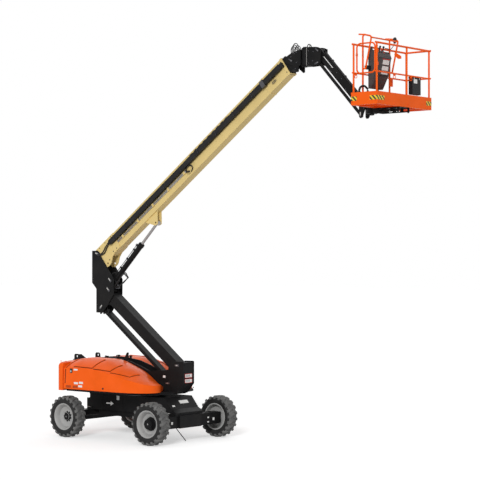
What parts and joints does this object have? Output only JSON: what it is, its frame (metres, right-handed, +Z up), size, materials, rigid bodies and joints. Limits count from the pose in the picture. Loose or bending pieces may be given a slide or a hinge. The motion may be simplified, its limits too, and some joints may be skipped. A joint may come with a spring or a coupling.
{
  "type": "articulated boom lift",
  "caption": "Four-wheeled self-propelled lift: a folding tower carries a telescopic main boom and a side-swinging jib with a railed work platform.",
  "frame": {"origin": "on the ground under the slewing axis, midway between the axles", "axes": "+X towards the driven axle, the way the booms reach; +Y the machine's left; +Z up"},
  "size_m": [8.6038, 2.42, 8.0808],
  "materials": {
    "chassis_black": "satin",
    "boom_black": "satin",
    "boom_beige": "satin",
    "machine_orange": "gloss",
    "counterweight_orange": "satin",
    "engine_grey": "rough",
    "steel_rod": "polished",
    "pin_steel": "satin",
    "slew_steel": "satin",
    "tyre_rubber": "matte",
    "rim_silver": "satin",
    "cover_grey": "matte",
    "plastic_black": "matte"
  },
  "bodies": {
    "chassis": {"chassis_frame": "chassis_black", "drive_axle": "chassis_black", "steer_axle": "chassis_black", "slew_ring": "slew_steel"},
    "drive_wheel_left": {"drive_tyre_left": "tyre_rubber", "drive_rim_left": "rim_silver"},
    "drive_wheel_right": {"drive_tyre_right": "tyre_rubber", "drive_rim_right": "rim_silver"},
    "steer_stub_left": {"steer_knuckle_left": "chassis_black"},
    "steer_stub_right": {"steer_knuckle_right": "chassis_black"},
    "steer_wheel_left": {"steer_tyre_left": "tyre_rubber", "steer_rim_left": "rim_silver"},
    "steer_wheel_right": {"steer_tyre_right": "tyre_rubber", "steer_rim_right": "rim_silver"},
    "steering_link": {"tie_rod": "chassis_black"},
    "turntable": {"turntable_base": "chassis_black", "side_plate_left": "chassis_black", "side_plate_right": "chassis_black", "tower_foot_pins": "pin_steel", "counterweight": "counterweight_orange", "lifting_lugs": "chassis_black", "power_pack": "engine_grey"},
    "left_hood": {"hood_left": "machine_orange"},
    "right_hood": {"hood_right": "machine_orange"},
    "tower": {"tower_boom": "boom_black"},
    "tower_linkage": {"tower_link": "boom_black"},
    "upright": {"upright_frame": "boom_black"},
    "main_boom": {"main_boom_base": "boom_beige", "hose_carrier": "plastic_black"},
    "fly": {"fly_boom": "boom_black"},
    "cylinder_barrel": {"lift_barrel": "boom_black"},
    "cylinder_rod": {"lift_rod": "steel_rod"},
    "head": {"boom_head": "boom_black"},
    "yoke": {"jib_yoke": "boom_black"},
    "jib": {"jib_arm": "boom_black"},
    "jib_linkage": {"jib_link": "boom_black"},
    "carrier": {"platform_carrier": "boom_black"},
    "platform": {"platform_support": "boom_black", "platform_floor": "machine_orange", "platform_rails": "machine_orange", "control_console": "cover_grey", "console_guard": "machine_orange", "document_box": "plastic_black"},
    "gate": {"platform_gate": "machine_orange"}
  },
  "joints": [
    {"name": "drive_spin_left", "type": "hinge", "parent": "chassis", "child": "drive_wheel_left", "pos_m": [1.22, 1.065, 0.445], "axis": [0, 1, 0], "continuous": true},
    {"name": "drive_spin_right", "type": "hinge", "parent": "chassis", "child": "drive_wheel_right", "pos_m": [1.22, -1.065, 0.445], "axis": [0, 1, 0], "continuous": true},
    {"name": "steer_left", "type": "hinge", "parent": "chassis", "child": "steer_stub_left", "pos_m": [-1.22, 0.88, 0.445], "axis": [0, 0, 1], "range_deg": [-35, 35]},
    {"name": "steer_right", "type": "hinge", "parent": "chassis", "child": "steer_stub_right", "pos_m": [-1.22, -0.88, 0.445], "axis": [0, 0, 1], "range_deg": [-35, 35]},
    {"name": "tie_rod_slide", "type": "slide", "parent": "chassis", "child": "steering_link", "axis": [0, 1, 0], "range_m": [-0.13, 0.13]},
    {"name": "steer_spin_left", "type": "hinge", "parent": "steer_stub_left", "child": "steer_wheel_left", "pos_m": [-1.22, 1.065, 0.445], "axis": [0, 1, 0], "continuous": true},
    {"name": "steer_spin_right", "type": "hinge", "parent": "steer_stub_right", "child": "steer_wheel_right", "pos_m": [-1.22, -1.065, 0.445], "axis": [0, 1, 0], "continuous": true},
    {"name": "slew", "type": "hinge", "parent": "chassis", "child": "turntable", "pos_m": [0, 0, 0.965], "axis": [0, 0, 1], "range_deg": [-180, 180]},
    {"name": "hood_left_lift", "type": "hinge", "parent": "turntable", "child": "left_hood", "pos_m": [0, 0.194, 1.704], "axis": [1, 0, 0], "range_deg": [0, 60]},
    {"name": "hood_right_lift", "type": "hinge", "parent": "turntable", "child": "right_hood", "pos_m": [0, -0.194, 1.704], "axis": [-1, 0, 0], "range_deg": [0, 60]},
    {"name": "tower_lift", "type": "hinge", "parent": "turntable", "child": "tower", "pos_m": [1.169, 0, 1.592], "axis": [0, 1, 0], "range_deg": [-36.8, 33.2]},
    {"name": "tower_link_lift", "type": "hinge", "parent": "turntable", "child": "tower_linkage", "pos_m": [0.906, 0, 1.207], "axis": [0, 1, 0], "range_deg": [-36.8, 33.2]},
    {"name": "upright_level", "type": "hinge", "parent": "tower", "child": "upright", "pos_m": [-0.89448, 0, 3.13568], "axis": [0, 1, 0], "range_deg": [-33.2, 36.8]},
    {"name": "main_lift", "type": "hinge", "parent": "upright", "child": "main_boom", "pos_m": [-1.23, 0, 3.925], "axis": [0, -1, 0], "range_deg": [-36.4, 35.6]},
    {"name": "cylinder_swing", "type": "hinge", "parent": "upright", "child": "cylinder_barrel", "pos_m": [-0.845, 0, 3.342], "axis": [0, -1, 0], "range_deg": [-33.85, 33.11]},
    {"name": "cylinder_stroke", "type": "slide", "parent": "cylinder_barrel", "child": "cylinder_rod", "axis": [0.7108, 0, 0.7034], "range_m": [-0.42829, 0.41892]},
    {"name": "telescope", "type": "slide", "parent": "main_boom", "child": "fly", "axis": [0.8049, 0, 0.5934], "range_m": [0, 5.2]},
    {"name": "head_level", "type": "hinge", "parent": "fly", "child": "head", "pos_m": [4.14164, 0, 7.76107], "axis": [0, -1, 0], "range_deg": [-35.6, 36.4]},
    {"name": "jib_swing", "type": "hinge", "parent": "head", "child": "yoke", "pos_m": [4.4, 0, 7.8175], "axis": [0, 0, 1], "range_deg": [-90, 90]},
    {"name": "jib_lift", "type": "hinge", "parent": "yoke", "child": "jib", "pos_m": [4.8, 0, 7.91], "axis": [0, -1, 0], "range_deg": [-12.8, 117.2]},
    {"name": "jib_link_lift", "type": "hinge", "parent": "yoke", "child": "jib_linkage", "pos_m": [4.8, 0, 7.678], "axis": [0, -1, 0], "range_deg": [-12.8, 117.2]},
    {"name": "carrier_level", "type": "hinge", "parent": "jib", "child": "carrier", "pos_m": [5.81916, 0, 6.8094], "axis": [0, -1, 0], "range_deg": [-117.2, 12.8]},
    {"name": "platform_rotate", "type": "hinge", "parent": "carrier", "child": "platform", "pos_m": [6.00016, 0, 6.7], "axis": [0, 0, 1], "range_deg": [-90, 90]},
    {"name": "gate_swing", "type": "hinge", "parent": "platform", "child": "gate", "pos_m": [6.714, -0.831, 7.565], "axis": [0, 0, -1], "range_deg": [0, 90]}
  ],
  "couplings": [
    {"joint": "steer_right", "follows": "steer_left", "ratio": 1},
    {"joint": "tie_rod_slide", "follows": "steer_left", "m_per_rad": 0.205},
    {"joint": "tower_link_lift", "follows": "tower_lift", "ratio": 1},
    {"joint": "upright_level", "follows": "tower_lift", "ratio": -1},
    {"joint": "cylinder_swing", "follows": "main_lift", "ratio": 0.93},
    {"joint": "cylinder_stroke", "follows": "main_lift", "m_per_rad": 0.671},
    {"joint": "head_level", "follows": "main_lift", "ratio": -1},
    {"joint": "jib_link_lift", "follows": "jib_lift", "ratio": 1},
    {"joint": "carrier_level", "follows": "jib_lift", "ratio": -1}
  ]
}
